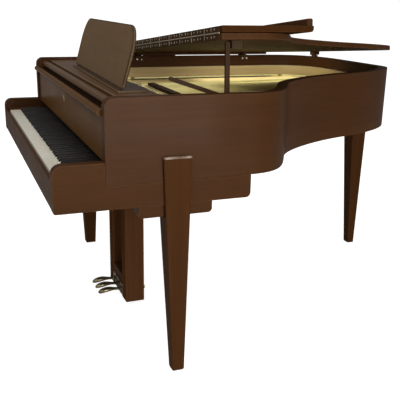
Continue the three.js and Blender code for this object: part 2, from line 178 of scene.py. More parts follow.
def edge_wear_and_highlight(tree, amount):
    """How strongly a softened edge takes its edge tone, which is wear and on some looks a painted highlight,
    broken up along its length.
    """
    on_edge = node(tree, "Attribute", attribute_name="wear").outputs["Fac"]
    patches = noise(tree, spot(tree, "Object", (1, 1, 1)), 34, 4, 0.6)
    return node(tree, "Math", {0: on_edge, 1: spread(tree, patches, 0.35, 0.7, 0.15 * amount, amount)},
                operation="MULTIPLY").outputs[0]


def wood(name, grain, colours, rough=0.52, coat=0.015, wear=0.5, source="Object", contrast=0.75, relief=0.25,
         shine=0.05):
    """Veneer with its grain along axis 0, 1 or 2: colours are its dark, middle and light tones and its edge
    tone, which is wear and on some looks a painted highlight.
    """
    dark, middle, light, worn_and_lit = colours
    tree, shader, material = blank(name)

    def stretched(across, along):
        scale = [across] * 3
        scale[grain] = along
        return spot(tree, source, scale)

    tone = noise(tree, stretched(5, 0.9), 1, 2.5, 0.5, 0.6)
    streak = noise(tree, stretched(46, 1.6), 1, 5, 0.62, 0.5)
    fine = noise(tree, stretched(330, 7), 1, 4, 0.6)
    pores = noise(tree, stretched(1500, 45), 1, 2, 0.5)
    figure = sums(tree, (tone, 0.36), (streak, 0.4), (fine, 0.24))
    low = blend(tree, spread(tree, figure, 0.5 - 0.16 / contrast, 0.5), dark, middle)
    colour = blend(tree, spread(tree, figure, 0.5, 0.5 + 0.17 / contrast), low, light)
    pore = spread(tree, pores, 0.6, 0.72)
    colour = blend(tree, sums(tree, (pore, 0.45)), colour, dark)
    colour = blend(tree, edge_wear_and_highlight(tree, wear), colour, worn_and_lit)
    put(tree, shader.inputs["Base Color"], colour)
    smear = noise(tree, spot(tree, "Object", (1, 1, 1)), 7, 4, 0.6)
    put(tree, shader.inputs["Roughness"], sums(tree, (smear, 0.16), (pore, 0.14), (1.0, rough - 0.08)))
    height = sums(tree, (fine, 0.5), (pore, -0.5))
    put(tree, shader.inputs["Normal"], bump(tree, height, 0.00025, relief))
    put(tree, shader.inputs["Specular IOR Level"], shine)
    put(tree, shader.inputs["Coat Weight"], coat)
    put(tree, shader.inputs["Coat Roughness"], spread(tree, smear, 0.3, 0.7, 0.1, 0.22))
    return material


def painted(name, colour, other, rough, metal, grain=220, depth=0.0002, wear_colour=None, coat=0.0,
            shine=0.5):
    """Metal, paint, plastic or felt: two tones in soft patches, with a fine surface grain."""
    tree, shader, material = blank(name)
    at = spot(tree, "Object", (1, 1, 1))
    patches = noise(tree, at, 14, 5, 0.6, 0.4)
    grit = noise(tree, at, grain * 6, 3, 0.6)
    mixed = blend(tree, spread(tree, patches, 0.35, 0.68), colour, other)
    if wear_colour:
        mixed = blend(tree, edge_wear_and_highlight(tree, 0.8), mixed, wear_colour)
    put(tree, shader.inputs["Base Color"], mixed)
    put(tree, shader.inputs["Metallic"], metal)
    put(tree, shader.inputs["Specular IOR Level"], shine)
    put(tree, shader.inputs["Roughness"], sums(tree, (patches, 0.2), (grit, 0.08), (1.0, rough - 0.14)))
    put(tree, shader.inputs["Normal"], bump(tree, grit, depth, 0.3))
    put(tree, shader.inputs["Coat Weight"], coat)
    put(tree, shader.inputs["Coat Roughness"], 0.08)
    return material


# The fourth tone of a walnut is the tone of its softened edges; the light ones are partly wear and partly
# painted highlight.
WALNUT = ((0.036, 0.0134, 0.0039), (0.049, 0.0187, 0.0056), (0.064, 0.0255, 0.0082), (0.110, 0.055, 0.025))
# The lyre's copy is lighter: the extra lightness is painted fill light under the key bed.
LYRE_WALNUT = ((0.060, 0.0240, 0.0092), (0.082, 0.0335, 0.0132), (0.106, 0.0450, 0.0185),
               (0.150, 0.075, 0.034))
# The leg's fourth tone is a painted highlight, set on the rounding of the treble leg's top.
LEG_WALNUT = ((0.036, 0.0135, 0.0040), (0.050, 0.0190, 0.0058), (0.065, 0.0255, 0.0082),
              (0.33, 0.26, 0.21))
FLAP_WALNUT = ((0.029, 0.0105, 0.0030), (0.040, 0.0150, 0.0045), (0.053, 0.0210, 0.0068),
               (0.100, 0.050, 0.023))
# The desk's copy is lighter and greyer: its tone partly stands for painted sheen on the desk's faces. Its
# edge tone is darker than its face.
DESK_WALNUT = ((0.104, 0.0625, 0.0295), (0.125, 0.0760, 0.0365), (0.146, 0.0900, 0.0440),
               (0.046, 0.0280, 0.0145))
# The shelf's copy is lighter and more olive: its tone partly stands for painted sheen on the rail's and
# shelf's tops, and its light edge tone is a painted highlight along their rounded edges.
SHELF_WALNUT = ((0.068, 0.0340, 0.0125), (0.089, 0.0440, 0.0168), (0.109, 0.0560, 0.0212),
                (0.26, 0.19, 0.125))
PROP_WALNUT = ((0.024, 0.0115, 0.0050), (0.034, 0.0165, 0.0075), (0.046, 0.0235, 0.0110),
               (0.10, 0.065, 0.04))
# The fall board's light edge tone is a painted highlight along its rounded edges and its nose.
FALL_WALNUT = ((0.066, 0.0290, 0.0080), (0.086, 0.0390, 0.0110), (0.105, 0.0490, 0.0150),
               (0.20, 0.13, 0.075))
DARK_WALNUT = ((0.012, 0.006, 0.004), (0.028, 0.013, 0.008), (0.05, 0.025, 0.014), (0.12, 0.075, 0.045))
MAPLE = ((0.26, 0.180, 0.078), (0.39, 0.285, 0.132), (0.52, 0.405, 0.210), (0.55, 0.46, 0.29))
SPRUCE = ((0.36, 0.22, 0.075), (0.55, 0.38, 0.15), (0.72, 0.55, 0.26), (0.7, 0.55, 0.3))
LOOKS = {
    "walnut_x": wood("walnut_x", 0, WALNUT),
    "walnut_y": wood("walnut_y", 1, WALNUT),
    "walnut_lyre": wood("walnut_lyre", 2, LYRE_WALNUT, coat=0.0, shine=0.0),
    # The leg's edge tone is kept faint here, so that it shows only on the top rounding marked for a painted
    # highlight.
    "walnut_leg": wood("walnut_leg", 2, LEG_WALNUT, coat=0.0, shine=0.02, wear=0.012),
    "walnut_rim": wood("walnut_rim", 0, WALNUT, coat=0.055, source="UV"),
    "walnut_fall": wood("walnut_fall", 0, FALL_WALNUT, rough=0.34, coat=0.02, wear=0.8, relief=0.0,
                        shine=0.02),
    "walnut_flap": wood("walnut_flap", 0, FLAP_WALNUT, coat=0.0, shine=0.0),
    "walnut_desk": wood("walnut_desk", 0, DESK_WALNUT, rough=0.5, coat=0.02, wear=2.0, contrast=0.8),
    "walnut_shelf": wood("walnut_shelf", 0, SHELF_WALNUT, rough=0.36, coat=0.06, wear=0.5, shine=0.12),
    "walnut_prop": wood("walnut_prop", 2, PROP_WALNUT, rough=0.5, wear=0.5),
    "dark_walnut": wood("dark_walnut", 0, DARK_WALNUT, rough=0.5, coat=0.05),
    "maple": wood("maple", 0, MAPLE, rough=0.4, coat=0.3, source="UV", contrast=0.7),
    "maple_y": wood("maple_y", 1, MAPLE, rough=0.5, coat=0.1, contrast=0.8),
    "spruce": wood("spruce", 1, SPRUCE, rough=0.4, coat=0.4, contrast=0.8),
    "ivory": painted("ivory", (0.80, 0.77, 0.66), (0.70, 0.64, 0.50), 0.24, 0, 60, 0.00005,
                     (0.86, 0.84, 0.76), coat=0.4),
    "ebony": painted("ebony", (0.008, 0.007, 0.007), (0.013, 0.012, 0.011), 0.45, 0, 90, 0.00008,
                     (0.05, 0.045, 0.04), shine=0.2),
    "gold_iron": painted("gold_iron", (0.88, 0.80, 0.36), (0.72, 0.63, 0.24), 0.42, 0.1, 120, 0.0004,
                         (0.92, 0.86, 0.45)),
    "pedal_brass": painted("pedal_brass", (0.34, 0.29, 0.19), (0.11, 0.09, 0.055), 0.3, 1, 60, 0.0004,
                           (0.7, 0.66, 0.55)),
    "brass": painted("brass", (0.52, 0.37, 0.15), (0.20, 0.13, 0.06), 0.3, 1, 90, 0.00015, (0.75, 0.6, 0.32)),
    "steel": painted("steel", (0.56, 0.55, 0.53), (0.36, 0.34, 0.31), 0.3, 1, 150, 0.0001, (0.8, 0.79, 0.77)),
    "aged_steel": painted("aged_steel", (0.060, 0.033, 0.018), (0.038, 0.021, 0.011), 0.5, 0.05, 150, 0.0002,
                          (0.12, 0.08, 0.05), shine=0.03),
    "hinge_pin": painted("hinge_pin", (0.60, 0.51, 0.36), (0.34, 0.28, 0.19), 0.35, 0.4, 150, 0.0001,
                         (0.75, 0.68, 0.52)),
    "bronze": painted("bronze", (0.050, 0.032, 0.016), (0.030, 0.019, 0.010), 0.5, 0.05, 150, 0.0002,
                      (0.12, 0.08, 0.05), shine=0.04),
    "gilt_string": painted("gilt_string", (0.84, 0.75, 0.38), (0.68, 0.58, 0.26), 0.35, 0.5, 400, 0.0001),
    "copper_string": painted("copper_string", (0.74, 0.58, 0.27), (0.60, 0.44, 0.18), 0.4, 0.6, 400, 0.0001),
    "felt": painted("felt", (0.035, 0.024, 0.02), (0.06, 0.04, 0.032), 0.95, 0, 500, 0.0008),
}


# ---- Mesh building, in millimetres ----
def loft(bm, rings):
    """Faces between rings of points, closed at both ends; gives back the rings' vertices."""
    rows = [[bm.verts.new(p) for p in ring] for ring in rings]
    for a, b in zip(rows, rows[1:]):
        for i, j in ((k, (k + 1) % len(a)) for k in range(len(a))):
            bm.faces.new((a[i], a[j], b[j], b[i]))
    bm.faces.new(rows[0][::-1])
    bm.faces.new(rows[-1])
    return rows


def prism(bm, outline, low, high, axis="z"):
    """An outline in the two other axes, from low to high along this one."""
    def placed(u, v, h):
        return {"x": (h, u, v), "y": (u, h, v), "z": (u, v, h)}[axis]

    return loft(bm, [[placed(u, v, h) for u, v in outline] for h in (low, high)])


def block(bm, x, y, z):
    prism(bm, [(x[0], y[0]), (x[1], y[0]), (x[1], y[1]), (x[0], y[1])], *z)


def rounded(u, v, radii, steps=6):
    """A rectangle with its low-low, high-low, high-high and low-high corners rounded."""
    corners = ((u[0], v[0], 1, 1, 180), (u[1], v[0], -1, 1, 270),
               (u[1], v[1], -1, -1, 0), (u[0], v[1], 1, -1, 90))
    outline = []
    for (cu, cv, su, sv, start), r in zip(corners, radii):
        for k in range(steps + 1 if r else 1):
            a = math.radians(start + 90 * k / steps)
            outline.append((cu + su * r + r * math.cos(a), cv + sv * r + r * math.sin(a)) if r else (cu, cv))
    return outline


def turned(bm, profile, base, direction, sides=12):
    """Rings of (radius, height) along a direction from a base point."""
    turn = Vector(UP).rotation_difference(Vector(direction)).to_matrix()
    rings = []
    for radius, height in profile:
        angles = (2 * math.pi * k / sides for k in range(sides))
        rings.append([Vector(base) + turn @ Vector((radius * math.cos(a), radius * math.sin(a), height))
                      for a in angles])
    loft(bm, rings)


def screw(bm, base, direction, radius=3.6):
    """A low domed screw head."""
    head = [(radius, -0.4), (radius, 0.5), (radius * 0.72, 1.1), (radius * 0.25, 1.4)]
    turned(bm, head, base, direction, 10)


def wire(bm, points, radius, sides=5):
    """A round wire through these points, each ring square to the wire's direction there."""
    rings = []
    for p, before, after in zip(points, [points[0], *points], [*points[1:], points[-1]]):
        along = (Vector(after) - Vector(before)).normalized()
        turn = Vector(UP).rotation_difference(along).to_matrix()
        rings.append([Vector(p) + turn @ Vector((radius * math.cos(a), radius * math.sin(a), 0))
                      for a in (2 * math.pi * k / sides for k in range(sides))])
    loft(bm, rings)


def soften(bm, width, segments=3, sharpest=28):
    """Rounds every sharp edge and marks the rounding for the edge tone: wear, and on some looks a painted
    highlight.
    """
    worn_and_lit = bm.faces.layers.float.get("wear") or bm.faces.layers.float.new("wear")
    sharp = [e for e in bm.edges if len(e.link_faces) == 2 and e.calc_face_angle(0) > math.radians(sharpest)]
    made = bmesh.ops.bevel(bm, geom=sharp, offset=width, offset_type="OFFSET", segments=segments, profile=0.5,
                           affect="EDGES", clamp_overlap=True)
    for face in made["faces"]:
        face[worn_and_lit] = 1.0


def add(name, bm, look, body, place=HOME, edge=0.0, stands_for=(), segments=3):
    """Finishes a mesh built in millimetres in the frame `place` and lets it ride on a body."""
    bmesh.ops.recalc_face_normals(bm, faces=bm.faces)
    if edge:
        soften(bm, edge, segments)
    bm.transform(place)
    mesh = bpy.data.meshes.new(name)
    bm.to_mesh(mesh)
    bm.free()
    mesh.shade_smooth()
    mesh.set_sharp_from_angle(angle=math.radians(38))
    mesh.materials.append(LOOKS[look])
    made = bpy.data.objects.new(name, mesh)
    scene.collection.objects.link(made)
    if edge:
        made.modifiers.new("flat_faces", "WEIGHTED_NORMAL").keep_sharp = True
    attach(made, body)
    if stands_for:
        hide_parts(*stands_for)
    return made


def refine(name, look, edge):
    """A CAD board with its triangles merged and its edges rounded."""
    bm = bmesh.new()
    bm.from_mesh(frame["nodes"][name].data)
    bm.transform(HOME.inverted())
    bmesh.ops.remove_doubles(bm, verts=bm.verts, dist=0.01)
    bmesh.ops.dissolve_limit(bm, angle_limit=math.radians(1), verts=bm.verts, edges=bm.edges)
    return add(name + "_finished", bm, look, BODY_OF[name], edge=edge, stands_for=[name])


def paint_top_highlight(made, above, amount=90.0):
    """Marks the rounding round a piece's top, above this height, for a painted highlight in the look's edge
    tone.
    """
    for face, worn_and_lit in zip(made.data.polygons, made.data.attributes["wear"].data):
        if worn_and_lit.value and face.normal.z > 0.2 and face.center.z > above * MM:
            worn_and_lit.value = amount


# ---- Plan of the case ----
def bezier(p0, c1, c2, p3, steps=22):
    """Points along a cubic curve."""
    points = []
    for k in range(steps + 1):
        t = k / steps
        s = 1 - t
        points.append(tuple(s ** 3 * a + 3 * s * s * t * b + 3 * s * t * t * c + t ** 3 * d
                            for a, b, c, d in zip(p0, c1, c2, p3)))
    return points


def case_plan(front_ys):
    """The outside of the case from its treble front corner round the tail to its bass front corner."""
    waist, flank = (514, 872), (256, 1302)
    plan = [(HALF_W, y) for y in front_ys]
    plan += bezier((HALF_W, 640), (HALF_W, 760), (640, 800), waist)
    plan += bezier(waist, (425, 922), (302, 1130), flank)[1:]
    plan += bezier(flank, (224, 1422), (110, TAIL_Y), (-30, TAIL_Y))[1:]
    plan += bezier((-360, TAIL_Y), (-580, TAIL_Y), (-HALF_W, 1600), (-HALF_W, 1350))
    return plan + [(-HALF_W, y) for y in reversed(front_ys)]


def offset(plan, inwards):
    """The line that runs this far to the inner side of the plan."""
    moved = []
    for i, (x, y) in enumerate(plan):
        (ax, ay), (bx, by) = plan[max(i - 1, 0)], plan[min(i + 1, len(plan) - 1)]
        length = math.hypot(bx - ax, by - ay)
        moved.append((x - inwards * (by - ay) / length, y + inwards * (bx - ax) / length))
    return moved


def band(name, front_ys, outer, inner, low, tops, look, edge, stands_for):
    """A wall that follows the plan between two offsets, with its grain running along it."""
    plan = case_plan(front_ys)
    outside, inside = offset(plan, outer), offset(plan, inner)
    bm = bmesh.new()
    layer = bm.loops.layers.uv.new("UVMap")
    lengths, run = {}, 0.0
    rings = []
    for i, (o, n) in enumerate(zip(outside, inside)):
        top = tops[min(i, len(plan) - 1 - i)] if min(i, len(plan) - 1 - i) < len(tops) else tops[-1]
        rings.append([(*o, low), (*o, top), (*n, top), (*n, low)])
        if i:
            run += math.dist(plan[i], plan[i - 1])
        lengths[i] = run
    for i, row in enumerate(loft(bm, rings)):
        for vert in row:
            vert.index = i
    for face in bm.faces:
        for corner in face.loops:
            x, y, z = corner.vert.co
            side = math.dist((x, y), outside[corner.vert.index])
            corner[layer].uv = (lengths[corner.vert.index] * MM, (z + side) * MM)
    return add(name, bm, look, BODY_OF[stands_for], edge=edge, stands_for=[stands_for])


def ribbon(line, width):
    """Outline of a strip of this width along a line."""
    sides = []
    for sign in (-1, 1):
        side = []
        for i, (x, y) in enumerate(line):
            (ax, ay), (bx, by) = line[max(i - 1, 0)], line[min(i + 1, len(line) - 1)]
            length = math.hypot(bx - ax, by - ay)
            reach = sign * width / 2 / length
            side.append((x - reach * (by - ay), y + reach * (bx - ax)))
        sides.append(side)
    return sides[0] + sides[1][::-1]


# ---- Case ----
def outer_rim():
    steps = 8
    angles = [math.pi / 2 * k / steps for k in range(steps + 1)]
    front = [RIM_FRONT_Y + RIM_CORNER * (1 - math.cos(a)) for a in angles]
    tops = [RIM_Z[1] - RIM_CORNER * (1 - math.sin(a)) for a in angles]
    straight = list(range(240, 640, 80))
    band("rim_veneer", front + straight, 0, WALL, RIM_Z[0], tops, "walnut_rim", 2.4, "rim_outer")
    band("rim_liner", [560, 600], WALL + 0.3, WALL + 24, 700, [LINER_TOP], "maple", 1.2, "rim_inner")


def case_boards():
    for side in ("treble", "bass"):
        refine(f"arm_{side}", "walnut_y", 2.6)
        refine(f"step_{side}", "walnut_y", 2.2)
        refine(f"key_block_{side}", "walnut_y", 1.6)
    refine("key_slip", "walnut_x", 1.2)
    refine("front_rail", "walnut_shelf", 1.0)
    refine("music_shelf", "walnut_shelf", 1.4)
    refine("key_bed", "dark_walnut", 1.5)
    refine("name_board", "dark_walnut", 0.8)
    # The treble leg's top rounding gets a painted highlight.
    paint_top_highlight(refine("leg_treble", "walnut_leg", 6.5), LEG_SHOULDER_Z)
    refine("leg_bass", "walnut_leg", 4.0)
    refine("leg_tail", "walnut_leg", 5.5)
    refine("lyre_post_bass", "walnut_lyre", 3.0)
    refine("lyre_post_treble", "walnut_lyre", 3.0)
    for name in ("lyre_head", "pedal_box"):
        refine(name, "walnut_x", 1.8)
    for name in ("belly_rail", "back_post_1", "back_post_2"):
        refine(name, "maple_y", 2.0)
    refine("damper_rail", "dark_walnut", 1.5)


# ---- Keys ----
IS_BLACK = [False, True, False, True, False, False, True, False, True, False, True, False]
# On each white key from C to B: whether a black key cuts into its left and its right side.
CUTS = [(0, 1), (1, 1), (1, 0), (0, 1), (1, 1), (1, 1), (1, 0)]
WHITE_SLOTS = [k for k, black in enumerate(IS_BLACK) if not black]


def white_x(index):
    """Where a white key's left side is; index 0 is the lowest."""
    return KEYS_LEFT_X + index * KEY_PITCH


def white_key(bm, index):
    """A white key: a full-width head with a rounded lip, and a narrower tail between the black keys."""
    octave, step = divmod(index - 2, 7)
    c = white_x(2 + 7 * octave)
    slot = WHITE_SLOTS[step]
    left, right = white_x(index) + 0.45, white_x(index + 1) - 0.45
    cut_left, cut_right = CUTS[step]
    tail_left = c + slot * SLOT + 0.8 if cut_left and index > 0 else left
    tail_right = c + (slot + 1) * SLOT - 0.8 if cut_right and index < 51 else right
    outline = [(left, KEY_FRONT_Y + 0.4), (right, KEY_FRONT_Y + 0.4)]
    if tail_right != right:
        outline += [(right, KEY_HEAD_Y), (tail_right, KEY_HEAD_Y)]
    outline += [(tail_right, KEY_REAR_Y), (tail_left, KEY_REAR_Y)]
    if tail_left != left:
        outline += [(tail_left, KEY_HEAD_Y), (left, KEY_HEAD_Y)]
    prism(bm, outline, KEY_TOP_Z - 20, KEY_TOP_Z)


def black_key(bm, x):
    """A black key: sides that lean in to a narrow rounded top, and a sloping nose."""
    rings = []
    foot, chamfer = 5.0, 0.9
    for y, low, high, half in ((62, -3, 4.2, 4.7), (63.2, -6, 7.5, 4.4), (69, -6, 11.6, 4.1),
                               (73, -6, 12, 4.0), (174, -6, 12, 4.0), (222, -6, 12, 4.0)):
        side = [(foot, low), (half, high - chamfer), (half - chamfer, high)]
        rings.append([(x - u, y, KEY_TOP_Z + v) for u, v in side] +
                     [(x + u, y, KEY_TOP_Z + v) for u, v in reversed(side)])
    loft(bm, rings)


def black_slots(low, high):
    """Centres of the black keys between two x positions."""
    found = []
    for octave in range(-1, 8):
        for k, black in enumerate(IS_BLACK):
            x = white_x(2 + octave * 7) + (k + 0.5) * SLOT
            if black and low + 8 < x < high - 8:
                found.append(x)
    return found


def keys():
    last = FIRST_MOVING + 3
    for side, first, end in (("bass", 0, FIRST_MOVING), ("treble", last, 52)):
        bm = bmesh.new()
        for index in range(first, end):
            white_key(bm, index)
        add(f"whites_{side}", bm, "ivory", "case", edge=0.7, segments=2, stands_for=[f"white_keys_{side}"])
        bm = bmesh.new()
        for x in black_slots(white_x(first), white_x(end)):
            black_key(bm, x)
        add(f"blacks_{side}", bm, "ebony", "case", edge=0.35, segments=1, stands_for=[f"black_keys_{side}"])
    for i, note in enumerate("cde"):
        bm = bmesh.new()
        white_key(bm, FIRST_MOVING + i)
        add(f"white_{note}", bm, "ivory", f"note_{note}", edge=0.7, segments=2, stands_for=[f"key_{note}"])
    for x, note in zip(black_slots(white_x(FIRST_MOVING), white_x(last)), ("c_sharp", "d_sharp")):
        bm = bmesh.new()
        black_key(bm, x)
        block(bm, (x - 4.6, x + 4.6), (66, 398), (KEY_TOP_Z - 19, KEY_TOP_Z - 7))
        add(f"black_{note}", bm, "ebony", f"note_{note}", edge=0.35, segments=1, stands_for=[f"key_{note}"])


# ---- Fall board and music desk ----
def fall_board():
    half = HALF_W - WALL - 2
    bm = bmesh.new()
    prism(bm, rounded((-9, 9), (0, 150), (4, 4, 0, 0), 5), -half, half, "x")
    add("fall_veneer", bm, "walnut_fall", "fall", FALL, 0.8, ["fall_panel"])
    bm = bmesh.new()
    prism(bm, rounded((-30, -9.3), (145, 164), (8, 1, 4, 8), 6), -half, half, "x")
    add("fall_nose_rail", bm, "walnut_fall", "fall", FALL, 0.8, ["fall_nose"])
    bm = bmesh.new()
    turned(bm, [(12.5, 0), (12.5, 0.9), (10.5, 1.6), (8.5, 1.6), (7.6, 1.1), (3.4, 1.1)],
           (0, -9.1, 104), (0, -1, 0), 24)
    add("lock_rosette", bm, "brass", "fall", FALL, 0.2, ["fall_lock"])
    bm = bmesh.new()
    turned(bm, [(1.9, 1.0), (1.9, 1.5)], (0, -9.1, 106), (0, -1, 0), 12)
    block(bm, (-0.8, 0.8), (-10.5, -10.1), (100.5, 105))
    add("lock_keyhole", bm, "ebony", "fall", FALL)
    bm = bmesh.new()
    for end in (-1, 1):
        turned(bm, [(4.5, 0), (4.5, 1.6)], (end * half, 0, 9), (end, 0, 0))
    add("fall_pivots", bm, "steel", "fall", FALL)


def music_desk():
    bm = bmesh.new()
    prism(bm, rounded((-DESK_HALF, DESK_HALF), (-4, 200.5), (8, 8, 96, 96), 12), -6.5, 6.5, "y")
    add("desk_veneer", bm, "walnut_desk", "desk", DESK, 5.0, ["music_desk"], segments=4)
    bm = bmesh.new()
    block(bm, (-DESK_HALF - 3, DESK_HALF + 3), (-18, 74), (-14, -8))
    add("desk_slide", bm, "walnut_shelf", "case", STAND, 1.6, ["desk_tray"])
    for side, name in ((-1, "bass"), (1, "treble")):
        bm = bmesh.new()
        block(bm, (side * 270 - 22, side * 270 + 22), (6.6, 7.2), (3, 26))
        for dx in (-14, 14):
            turned(bm, [(2.6, -0.2), (2.6, 0.3)], (side * 270 + dx, 7.2, 15), (0, 1, 0))
        add(f"desk_hinge_{name}", bm, "brass", "desk", DESK)


# ---- Strings side ----
def crossing(line, x_front, slope, front_y=596):
    """Where a string that starts at x_front crosses a line, or None."""
    gap = [x + slope * (y - front_y) - x_front for x, y in line]
    for (x0, y0), (x1, y1), g0, g1 in zip(line, line[1:], gap, gap[1:]):
        if g0 * g1 <= 0 and g0 != g1:
            t = g0 / (g0 - g1)
            return x0 + (x1 - x0) * t, y0 + (y1 - y0) * t
    return None


def string_slope(x_front):
    """The bass strings fan out until they run along the spine."""
    return STRING_SLOPE * min(1.0, max(0.0, (x_front + 600) / 255))


def strings():
    hitch_line = offset(case_plan([600, 620]), WALL + 78)[2:-2]
    plain, wound, pins, agraffes, hitches, bridge_pins = (bmesh.new() for _ in range(6))
    damper_wood, damper_felt = bmesh.new(), bmesh.new()
    for count in range(STRING_COUNT):
        x = FIRST_STRING_X + count * STRING_PITCH
        if any(abs(x - strut) < 15 for strut in STRUT_XS):
            continue
        slope = string_slope(x)
        bass = x < LAST_BASS_X
        bridge = crossing(BASS_BRIDGE_LINE[::-1] if bass else BRIDGE_LINE, x, slope)
        hitch = crossing(hitch_line, x, slope)
        if hitch is None or bridge is None:
            continue
        radius = 1.6 if bass else 0.85 - 0.25 * (count / STRING_COUNT)
        pin = (x + 2, 462 + 34 * (count % 3), PLATE_TOP + 14)
        points = [(pin[0] + 2.2, pin[1], pin[2]), (x, STRING_FRONT_Y, STRING_Z + 2), (*bridge, STRING_Z),
                  (*hitch, STRING_Z)]
        wire(wound if bass else plain, points[1:], radius)
        wire(plain, points[:2], min(radius, 0.8))
        turned(pins, [(2.6, 0), (2.6, 20), (3.0, 20.5), (3.0, 27), (2.2, 28)],
               (pin[0], pin[1], PLATE_TOP + 0.3), (0, -0.08, 1), 8)
        turned(agraffes, [(3.0, 0), (3.0, 6), (1.6, 8)], (x, STRING_FRONT_Y, PLATE_TOP + 0.3), UP, 6)
        turned(hitches, [(1.8, 0), (1.8, 7)], (hitch[0], hitch[1] + 2, PLATE_TOP), UP, 6)
        turned(bridge_pins, [(0.9, 0), (0.9, 5)], (bridge[0] + 2.4, bridge[1], PLATE_TOP), UP, 5)
        if -310 < x < 372 and count % 2 == 0:
            at = x - slope * 24
            block(damper_wood, (at - 5, at + 5), DAMPER_Y, (STRING_Z + 8, STRING_Z + 17))
            block(damper_felt, (at - 4, at + 4), DAMPER_Y, (STRING_Z + 2.5, STRING_Z + 7.7))
    add("plain_strings", plain, "gilt_string", "case")
    add("wound_strings", wound, "copper_string", "case")
    add("tuning_pins", pins, "steel", "case")
    add("agraffes", agraffes, "brass", "case")
    add("hitch_pins", hitches, "steel", "case")
    add("bridge_pins", bridge_pins, "steel", "case")
    add("damper_heads", damper_wood, "walnut_prop", "case", edge=0.6, segments=2)
    add("damper_felts", damper_felt, "felt", "case", edge=0.8, segments=2)


def iron_plate():
    """The gold casting: its flange along the rim, its web and struts, a raised bead and its bolts."""
    band("plate_flange_cast", [600, 620], WALL + 27, WALL + 95, PLATE_Z[0], [PLATE_TOP], "gold_iron", 2.0,
         "plate_flange")
    bm = bmesh.new()
    for x, y in (((-645, -331), (600, 1400)), ((-335, -246), (826, 1180)), ((-262, -20), (655, 1012))):
        block(bm, x, y, PLATE_Z)
    add("plate_castings", bm, "gold_iron", "case", edge=1.2)
    refine("plate_web", "gold_iron", 1.6)
    for name in ("plate_strut_1", "plate_strut_2"):
        refine(name, "gold_iron", 2.6)
    bead = bmesh.new()
    plan = case_plan([600, 620])
    outside, inside = offset(plan, WALL + 29), offset(plan, WALL + 39)
    loft(bead, [[(*o, PLATE_TOP + 0.3), (*o, PLATE_TOP + 7), (*n, PLATE_TOP + 7), (*n, PLATE_TOP + 0.3)]
                for o, n in zip(outside, inside)])
    block(bead, (-650, 650), (583, 598), (PLATE_TOP + 0.3, PLATE_TOP + 2.5))
    block(bead, (-650, 650), (441, 449), (PLATE_TOP + 0.3, PLATE_TOP + 8))
    add("plate_beads", bead, "gold_iron", "case", edge=1.6, segments=2)
    bolts = bmesh.new()
    line = offset(plan, WALL + 52)
    run = 0.0
    for a, b in zip(line, line[1:]):
        run += math.dist(a, b)
        if run > 150:
            run = 0.0
            turned(bolts, [(11, 0), (11, 1.5), (8.5, 2), (8.5, 8), (6, 9.5)], (*b, PLATE_TOP + 0.2), UP)
    for x in (-620, -480, -200, -60, 200, 340, 480, 620):
        y = 560 if abs(x) > 600 else 578
        turned(bolts, [(8, 0), (8, 1.5), (5.5, 4), (2, 4.6)], (x, y, PLATE_TOP + 0.2), UP)
    add("plate_bolts", bolts, "brass", "case", edge=0.4, segments=1)


def soundboard():
    bm = bmesh.new()
    prism(bm, offset(case_plan([576, 600]), WALL + 27), 724, 733)
    add("soundboard_spruce", bm, "spruce", "case", edge=1.0, stands_for=["soundboard"])
    bm = bmesh.new()
    for k in range(7):
        y = 720 + k * 115
        block(bm, (-560, min(540, 470 - 55 * k)), (y, y + 24), (708, 723.7))
    add("soundboard_ribs", bm, "spruce", "case", edge=2.0)
    refine("bridge", "maple_y", 1.2)
    bm = bmesh.new()
    prism(bm, ribbon(BASS_BRIDGE_LINE, 26), 733.3, PLATE_Z[0] - 0.5)
    add("bass_bridge", bm, "maple_y", "case", edge=1.2)


# ---- Pedals ----
# From the pivot to the toe: place along the pedal, half width, half thickness and lift of its middle.
PEDAL_SECTIONS = ((0, 6.5, 5.4, 0), (-40, 6.5, 5.4, 0), (-66, 6.4, 5.2, 1.0), (-82, 8.0, 5.4, 3.0),
                  (-96, 12, 6.6, 4.4), (-109, 14.8, 8.0, 4.0), (-124, 15, 8.6, 2.0),
                  (-137, 13.2, 8.0, -1.0), (-145, 9.6, 6.0, -3.4), (-149.5, 5.0, 3.4, -5.0))


def pedals():
    for i, name in enumerate(("una_corda", "sostenuto", "sustain")):
        x = LYRE_X + (i - 1) * PEDAL_PITCH
        place = turned_frame(HOME, (x, 404, PEDAL_Z))
        bm = bmesh.new()
        rings = []
        for y, half, thick, lift in PEDAL_SECTIONS:
            ring = []
            for k in range(16):
                a = 2 * math.pi * k / 16
                c, s = math.cos(a), math.sin(a)
                ring.append((half * math.copysign(abs(c) ** 0.8, c), y,
                             lift + thick * math.copysign(abs(s) ** 0.7, s)))
            rings.append(ring)
        loft(bm, rings)
        add(f"pedal_{name}_cast", bm, "pedal_brass", f"pedal_{i + 1}", place, stands_for=[f"pedal_{name}"])
        bm = bmesh.new()
        front = LYRE_Y[0] + 3
        for side in (-1, 1):
            block(bm, (x + side * 16 - 4, x + side * 16 + 4), (front - 3.4, front - 0.3), (21, 66))
        block(bm, (x - 20, x + 20), (front - 3.4, front - 0.3), (62, 72))
        add(f"pedal_plate_{i + 1}", bm, "pedal_brass", "case", edge=1.0, segments=2)


def lyre_knob():
    bm = bmesh.new()
    turned(bm, [(8, 0), (8, 2), (4.5, 3.5), (4.5, 5), (7.6, 6.5), (8, 9), (6, 11.3), (2.5, 11.7)],
           (LYRE_X + 100, LYRE_Y[1] + 0.3, 62), (0, 1, 0), 20)
    add("lyre_bolt", bm, "brass", "case", stands_for=["lyre_knob"])


